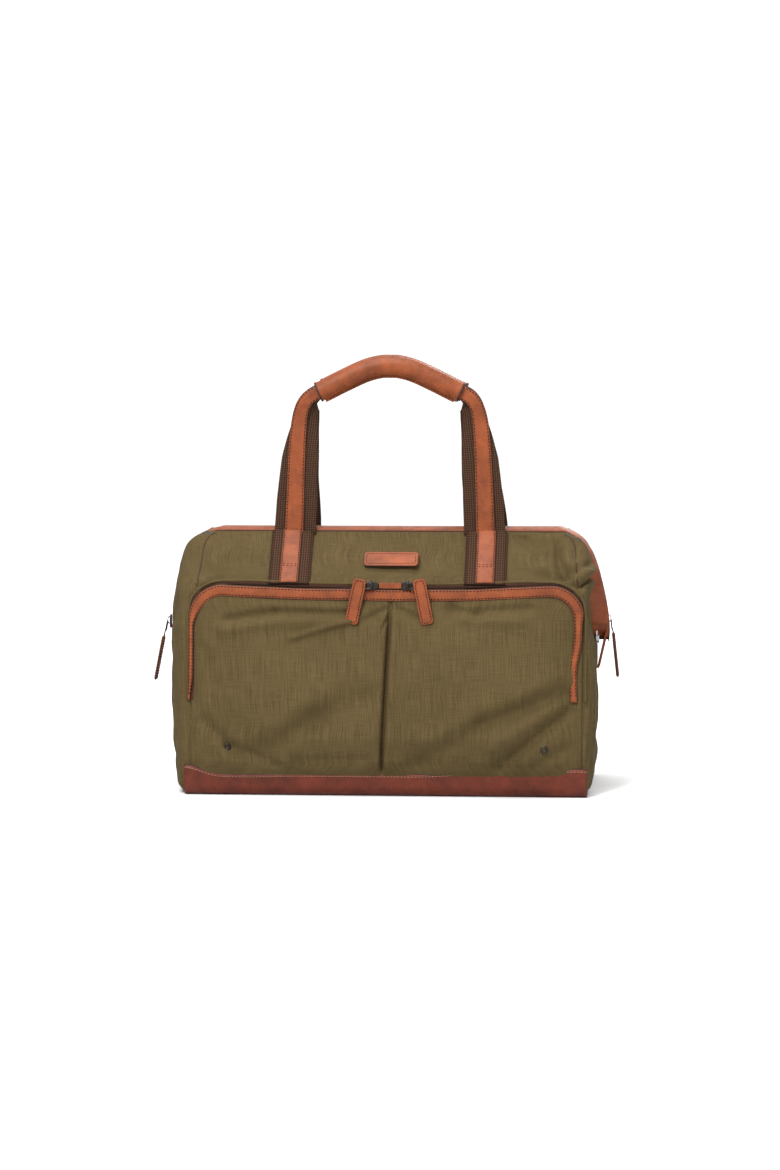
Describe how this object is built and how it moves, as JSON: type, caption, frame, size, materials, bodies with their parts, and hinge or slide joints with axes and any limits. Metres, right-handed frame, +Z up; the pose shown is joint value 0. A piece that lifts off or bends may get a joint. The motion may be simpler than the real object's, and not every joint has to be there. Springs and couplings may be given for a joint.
{
  "type": "weekender bag",
  "caption": "Soft canvas weekender with a framed zip-over mouth, zipped front pocket, leather-wrapped base and standing webbing handles.",
  "frame": {"origin": "middle of the base leather's flat underside, where the bag stands", "axes": "+X along the bag's length to its right seen from the pocket side, +Y from the pocket side to the plain side, +Z up"},
  "size_m": [0.5554, 0.2354, 0.508],
  "materials": {
    "canvas": "matt olive canvas with a fine slub weave",
    "lining": "plain dark cotton lining",
    "tan_leather": "tan full-grain leather, semi-matt, dark painted edges",
    "base_leather": "reddish-brown leather, satin",
    "webbing": "dark brown cotton webbing",
    "zip_tape": "purplish-brown woven zip tape with coil teeth",
    "gunmetal": "dark gunmetal plating, satin",
    "spring_steel": "flat spring steel",
    "board": "dark base board"
  },
  "bodies": {
    "bag_body": {"front_panel": "canvas", "rear_panel": "canvas", "end_panel_left": "canvas", "end_panel_right": "canvas", "base_leather": "base_leather", "base_board": "board", "lining": "lining", "pocket_lower": "canvas", "eyelet_left": "gunmetal", "eyelet_right": "gunmetal", "pocket_zip_tape_outer": "zip_tape", "pocket_zip_bridge": "tan_leather", "zip_end_tab_left": "tan_leather", "zip_end_tab_right": "tan_leather", "frame_rivet_left": "gunmetal", "frame_rivet_right": "gunmetal"},
    "pocket_flap": {"pocket_flap_panel": "canvas", "pocket_trim": "tan_leather", "pocket_zip_tape_inner": "zip_tape"},
    "front_mouth": {"front_yoke": "canvas", "front_facing": "tan_leather", "front_zip_tape": "zip_tape", "front_stay": "spring_steel", "front_webbing_foot_left": "webbing", "front_webbing_foot_right": "webbing", "front_strip_foot_left": "tan_leather", "front_strip_foot_right": "tan_leather", "name_patch": "tan_leather"},
    "front_handle": {"front_webbing_left": "webbing", "front_webbing_right": "webbing", "front_handle_strip_left": "tan_leather", "front_handle_strip_right": "tan_leather", "front_grip": "tan_leather"},
    "rear_mouth": {"rear_yoke": "canvas", "rear_facing": "tan_leather", "rear_zip_tape": "zip_tape", "rear_stay": "spring_steel", "rear_webbing_foot_left": "webbing", "rear_webbing_foot_right": "webbing", "rear_strip_foot_left": "tan_leather", "rear_strip_foot_right": "tan_leather"},
    "rear_handle": {"rear_webbing_left": "webbing", "rear_webbing_right": "webbing", "rear_handle_strip_left": "tan_leather", "rear_handle_strip_right": "tan_leather", "rear_grip": "tan_leather"},
    "pocket_slider_left": {"pocket_left_slider": "gunmetal"},
    "pocket_pull_left": {"pocket_left_puller": "gunmetal", "pocket_left_pull_tab": "tan_leather"},
    "pocket_slider_right": {"pocket_right_slider": "gunmetal"},
    "pocket_pull_right": {"pocket_right_puller": "gunmetal", "pocket_right_pull_tab": "tan_leather"},
    "main_slider_left": {"main_left_slider": "gunmetal"},
    "main_pull_left": {"main_left_puller": "gunmetal", "main_left_pull_tab": "tan_leather"},
    "main_slider_right": {"main_right_slider": "gunmetal"},
    "main_pull_right": {"main_right_puller": "gunmetal", "main_right_pull_tab": "tan_leather"}
  },
  "joints": [
    {"name": "front_mouth_hinge", "type": "hinge", "parent": "bag_body", "child": "front_mouth", "pos_m": [0, 0, 0.176], "axis": [1, 0, 0], "range_deg": [0, 34], "deforming": ["front_yoke", "front_webbing_foot_left", "front_webbing_foot_right", "front_strip_foot_left", "front_strip_foot_right", "name_patch"]},
    {"name": "rear_mouth_hinge", "type": "hinge", "parent": "bag_body", "child": "rear_mouth", "pos_m": [0, 0, 0.176], "axis": [-1, 0, 0], "range_deg": [0, 34], "deforming": ["rear_yoke", "rear_webbing_foot_left", "rear_webbing_foot_right", "rear_strip_foot_left", "rear_strip_foot_right"]},
    {"name": "front_handle_hinge", "type": "hinge", "parent": "front_mouth", "child": "front_handle", "pos_m": [0, -0.036, 0.3], "axis": [-1, 0, 0], "range_deg": [-115, 5]},
    {"name": "rear_handle_hinge", "type": "hinge", "parent": "rear_mouth", "child": "rear_handle", "pos_m": [0, 0.036, 0.3], "axis": [1, 0, 0], "range_deg": [-115, 5]},
    {"name": "pocket_flap_hinge", "type": "hinge", "parent": "bag_body", "child": "pocket_flap", "pos_m": [0, -0.12105, 0.11198], "axis": [1, 0, 0], "range_deg": [0, 35]},
    {"name": "pocket_slider_left_slide", "type": "slide", "parent": "pocket_flap", "child": "pocket_slider_left", "axis": [-1, 0, 0], "range_m": [0, 0.14]},
    {"name": "pocket_pull_left_hinge", "type": "hinge", "parent": "pocket_slider_left", "child": "pocket_pull_left", "pos_m": [-0.024, -0.10341, 0.23431], "axis": [-1, 0, 0], "range_deg": [0, 110]},
    {"name": "pocket_slider_right_slide", "type": "slide", "parent": "pocket_flap", "child": "pocket_slider_right", "axis": [1, 0, 0], "range_m": [0, 0.14]},
    {"name": "pocket_pull_right_hinge", "type": "hinge", "parent": "pocket_slider_right", "child": "pocket_pull_right", "pos_m": [0.024, -0.10341, 0.23431], "axis": [-1, 0, 0], "range_deg": [0, 110]},
    {"name": "main_slider_left_slide", "type": "slide", "parent": "bag_body", "child": "main_slider_left", "axis": [-0.3162, 0, -0.9487], "range_m": [-0.085, 0]},
    {"name": "main_pull_left_hinge", "type": "hinge", "parent": "main_slider_left", "child": "main_pull_left", "pos_m": [-0.26437, 0, 0.1956], "axis": [0, 1, 0], "range_deg": [0, 110]},
    {"name": "main_slider_right_slide", "type": "slide", "parent": "bag_body", "child": "main_slider_right", "axis": [0.3162, 0, -0.9487], "range_m": [-0.085, 0]},
    {"name": "main_pull_right_hinge", "type": "hinge", "parent": "main_slider_right", "child": "main_pull_right", "pos_m": [0.26437, 0, 0.1956], "axis": [0, -1, 0], "range_deg": [0, 110]}
  ]
}
